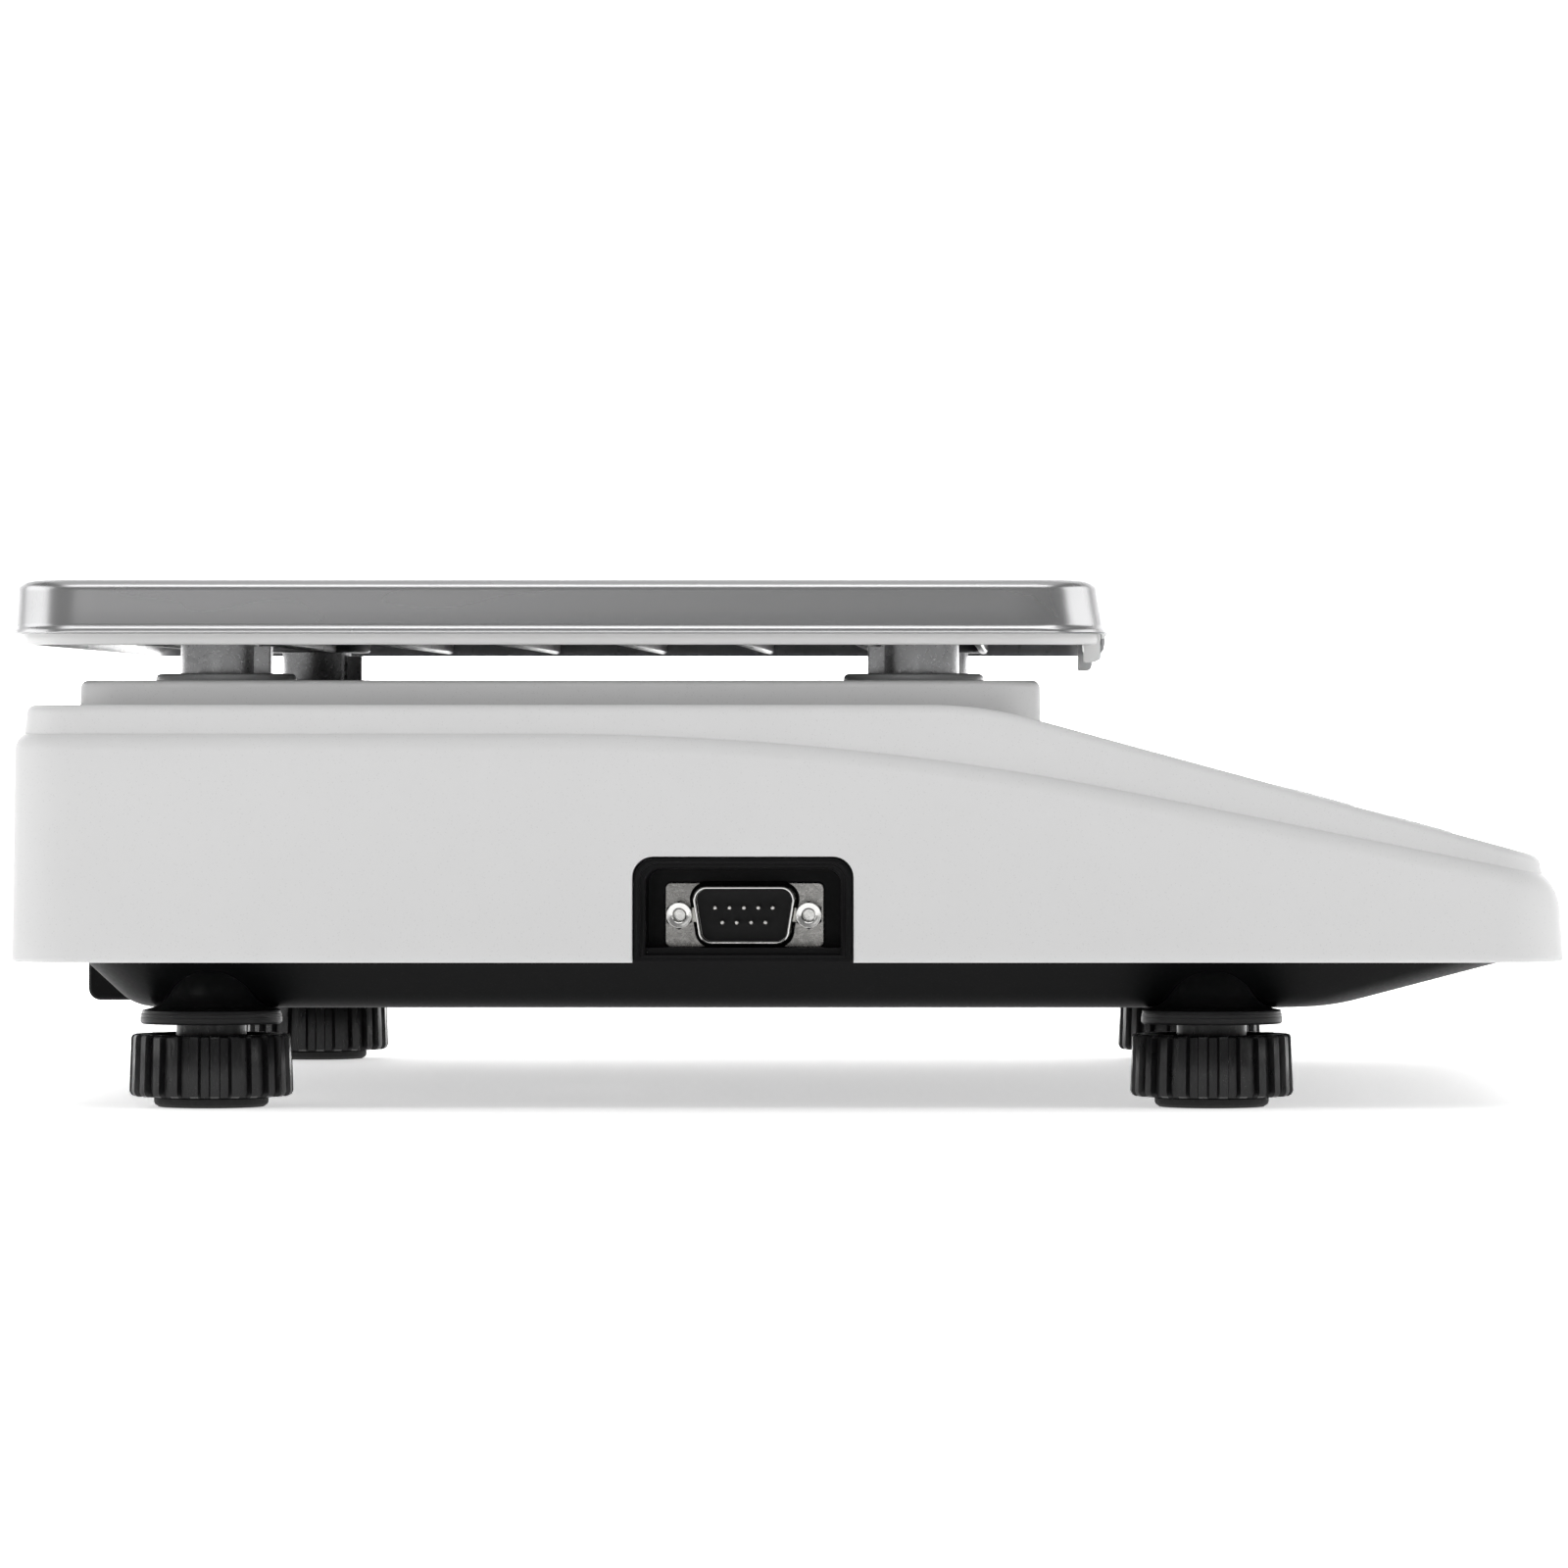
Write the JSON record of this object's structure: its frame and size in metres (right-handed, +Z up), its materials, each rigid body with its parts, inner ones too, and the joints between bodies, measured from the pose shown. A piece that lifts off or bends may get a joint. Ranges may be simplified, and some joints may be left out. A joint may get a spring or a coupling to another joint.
{
  "type": "counting scale",
  "caption": "Bench counting scale with a stainless pan on posts, a sloping keypad and display front, a side serial port and screw levelling feet.",
  "frame": {"origin": "middle of the footprint on the table, under the feet", "axes": "+X to the user's right, -Y to the front panel, +Z up"},
  "size_m": [0.32, 0.3016, 0.1027],
  "materials": {
    "housing": "fine textured light grey ABS",
    "base": "textured black ABS",
    "pan_steel": "satin stainless sheet",
    "tray": "smooth off-white ABS",
    "post": "silver-grey paint",
    "collar": "silver-grey plastic",
    "frame_steel": "zinc-plated steel",
    "cell_aluminium": "machined",
    "zinc": "bright zinc plate",
    "brass": "turned",
    "battery_case": "moulded case",
    "transformer": "varnished laminations",
    "board": "solder mask",
    "display": "reflective liquid crystal",
    "lens": "clear acrylic",
    "panel": "printed polyester overlay",
    "switch_black": "moulded black plastic",
    "vial": "acrylic vial with liquid",
    "wire": "PVC insulation",
    "knob": "moulded black nylon",
    "pad": "matt black rubber",
    "key": "moulded keycap"
  },
  "bodies": {
    "chassis": {"top_housing": "housing", "base_housing": "base", "post_collars": "collar", "load_cell": "cell_aluminium", "cell_mount": "frame_steel", "cell_screws": "zinc", "overload_stops": "brass", "battery": "battery_case", "transformer": "transformer", "main_board": "board", "display_board": "board", "lcd_modules": "display", "display_lens": "lens", "keypad_panel": "panel", "key_switches": "switch_black", "serial_shell": "zinc", "serial_insulator": "switch_black", "serial_pins": "brass", "jack_screws": "zinc", "power_inlet": "switch_black", "inlet_pins": "brass", "rocker_frame": "switch_black", "level_vial": "vial", "case_screws": "zinc", "foot_nuts": "brass", "wiring": "wire"},
    "platform": {"spider": "frame_steel", "support_posts": "post", "spider_screws": "zinc"},
    "tray": {"pan_tray": "tray"},
    "pan": {"weighing_pan": "pan_steel"},
    "power_rocker": {"rocker": "switch_black"},
    "key_01": {"key_01": "key"},
    "key_02": {"key_02": "key"},
    "key_03": {"key_03": "key"},
    "key_04": {"key_04": "key"},
    "key_05": {"key_05": "key"},
    "key_06": {"key_06": "key"},
    "key_07": {"key_07": "key"},
    "key_08": {"key_08": "key"},
    "key_09": {"key_09": "key"},
    "key_10": {"key_10": "key"},
    "key_11": {"key_11": "key"},
    "key_12": {"key_12": "key"},
    "key_13": {"key_13": "key"},
    "key_14": {"key_14": "key"},
    "key_15": {"key_15": "key"},
    "key_16": {"key_16": "key"},
    "pad_rear_left": {"foot_pad_rear_left": "pad"},
    "foot_rear_left": {"foot_knob_rear_left": "knob", "foot_stud_rear_left": "zinc"},
    "pad_rear_right": {"foot_pad_rear_right": "pad"},
    "foot_rear_right": {"foot_knob_rear_right": "knob", "foot_stud_rear_right": "zinc"},
    "pad_front_left": {"foot_pad_front_left": "pad"},
    "foot_front_left": {"foot_knob_front_left": "knob", "foot_stud_front_left": "zinc"},
    "pad_front_right": {"foot_pad_front_right": "pad"},
    "foot_front_right": {"foot_knob_front_right": "knob", "foot_stud_front_right": "zinc"}
  },
  "joints": [
    {"name": "platform_sink", "type": "slide", "parent": "chassis", "child": "platform", "axis": [0, 0, -1], "range_m": [0, 0.0005], "stiffness_N_per_m": 60000, "springref_m": -0.0005, "deforming": ["load_cell"]},
    {"name": "tray_lift", "type": "slide", "parent": "platform", "child": "tray", "axis": [0, 0, 1], "range_m": [0, 0.06]},
    {"name": "pan_lift", "type": "slide", "parent": "tray", "child": "pan", "axis": [0, 0, 1], "range_m": [0, 0.06]},
    {"name": "power_switch", "type": "hinge", "parent": "chassis", "child": "power_rocker", "pos_m": [0.03, 0.1332, 0.04], "axis": [-1, 0, 0], "range_deg": [0, 20]},
    {"name": "key_01_press", "type": "slide", "parent": "chassis", "child": "key_01", "axis": [0, 0.2622, -0.965], "range_m": [0, 0.0005], "stiffness_N_per_m": 2000, "springref_m": -0.0004},
    {"name": "key_02_press", "type": "slide", "parent": "chassis", "child": "key_02", "axis": [0, 0.2622, -0.965], "range_m": [0, 0.0005], "stiffness_N_per_m": 2000, "springref_m": -0.0004},
    {"name": "key_03_press", "type": "slide", "parent": "chassis", "child": "key_03", "axis": [0, 0.2622, -0.965], "range_m": [0, 0.0005], "stiffness_N_per_m": 2000, "springref_m": -0.0004},
    {"name": "key_04_press", "type": "slide", "parent": "chassis", "child": "key_04", "axis": [0, 0.2622, -0.965], "range_m": [0, 0.0005], "stiffness_N_per_m": 2000, "springref_m": -0.0004},
    {"name": "key_05_press", "type": "slide", "parent": "chassis", "child": "key_05", "axis": [0, 0.2622, -0.965], "range_m": [0, 0.0005], "stiffness_N_per_m": 2000, "springref_m": -0.0004},
    {"name": "key_06_press", "type": "slide", "parent": "chassis", "child": "key_06", "axis": [0, 0.2622, -0.965], "range_m": [0, 0.0005], "stiffness_N_per_m": 2000, "springref_m": -0.0004},
    {"name": "key_07_press", "type": "slide", "parent": "chassis", "child": "key_07", "axis": [0, 0.2622, -0.965], "range_m": [0, 0.0005], "stiffness_N_per_m": 2000, "springref_m": -0.0004},
    {"name": "key_08_press", "type": "slide", "parent": "chassis", "child": "key_08", "axis": [0, 0.2622, -0.965], "range_m": [0, 0.0005], "stiffness_N_per_m": 2000, "springref_m": -0.0004},
    {"name": "key_09_press", "type": "slide", "parent": "chassis", "child": "key_09", "axis": [0, 0.2622, -0.965], "range_m": [0, 0.0005], "stiffness_N_per_m": 2000, "springref_m": -0.0004},
    {"name": "key_10_press", "type": "slide", "parent": "chassis", "child": "key_10", "axis": [0, 0.2622, -0.965], "range_m": [0, 0.0005], "stiffness_N_per_m": 2000, "springref_m": -0.0004},
    {"name": "key_11_press", "type": "slide", "parent": "chassis", "child": "key_11", "axis": [0, 0.2622, -0.965], "range_m": [0, 0.0005], "stiffness_N_per_m": 2000, "springref_m": -0.0004},
    {"name": "key_12_press", "type": "slide", "parent": "chassis", "child": "key_12", "axis": [0, 0.2622, -0.965], "range_m": [0, 0.0005], "stiffness_N_per_m": 2000, "springref_m": -0.0004},
    {"name": "key_13_press", "type": "slide", "parent": "chassis", "child": "key_13", "axis": [0, 0.2622, -0.965], "range_m": [0, 0.0005], "stiffness_N_per_m": 2000, "springref_m": -0.0004},
    {"name": "key_14_press", "type": "slide", "parent": "chassis", "child": "key_14", "axis": [0, 0.2622, -0.965], "range_m": [0, 0.0005], "stiffness_N_per_m": 2000, "springref_m": -0.0004},
    {"name": "key_15_press", "type": "slide", "parent": "chassis", "child": "key_15", "axis": [0, 0.2622, -0.965], "range_m": [0, 0.0005], "stiffness_N_per_m": 2000, "springref_m": -0.0004},
    {"name": "key_16_press", "type": "slide", "parent": "chassis", "child": "key_16", "axis": [0, 0.2622, -0.965], "range_m": [0, 0.0005], "stiffness_N_per_m": 2000, "springref_m": -0.0004},
    {"name": "foot_rear_left_travel", "type": "slide", "parent": "chassis", "child": "pad_rear_left", "axis": [0, 0, -1], "range_m": [-0.0013, 0.0076]},
    {"name": "foot_rear_left_screw", "type": "hinge", "parent": "pad_rear_left", "child": "foot_rear_left", "pos_m": [-0.1315, 0.1121, 0.008], "axis": [0, 0, -1], "range_deg": [-360, 2160]},
    {"name": "foot_rear_right_travel", "type": "slide", "parent": "chassis", "child": "pad_rear_right", "axis": [0, 0, -1], "range_m": [-0.0013, 0.0076]},
    {"name": "foot_rear_right_screw", "type": "hinge", "parent": "pad_rear_right", "child": "foot_rear_right", "pos_m": [0.1315, 0.1121, 0.008], "axis": [0, 0, -1], "range_deg": [-360, 2160]},
    {"name": "foot_front_left_travel", "type": "slide", "parent": "chassis", "child": "pad_front_left", "axis": [0, 0, -1], "range_m": [-0.0013, 0.0076]},
    {"name": "foot_front_left_screw", "type": "hinge", "parent": "pad_front_left", "child": "foot_front_left", "pos_m": [-0.1315, -0.0831, 0.008], "axis": [0, 0, -1], "range_deg": [-360, 2160]},
    {"name": "foot_front_right_travel", "type": "slide", "parent": "chassis", "child": "pad_front_right", "axis": [0, 0, -1], "range_m": [-0.0013, 0.0076]},
    {"name": "foot_front_right_screw", "type": "hinge", "parent": "pad_front_right", "child": "foot_front_right", "pos_m": [0.1315, -0.0831, 0.008], "axis": [0, 0, -1], "range_deg": [-360, 2160]}
  ],
  "couplings": [
    {"joint": "foot_rear_left_travel", "follows": "foot_rear_left_screw", "m_per_rad": 0.00019894},
    {"joint": "foot_rear_right_travel", "follows": "foot_rear_right_screw", "m_per_rad": 0.00019894},
    {"joint": "foot_front_left_travel", "follows": "foot_front_left_screw", "m_per_rad": 0.00019894},
    {"joint": "foot_front_right_travel", "follows": "foot_front_right_screw", "m_per_rad": 0.00019894}
  ]
}
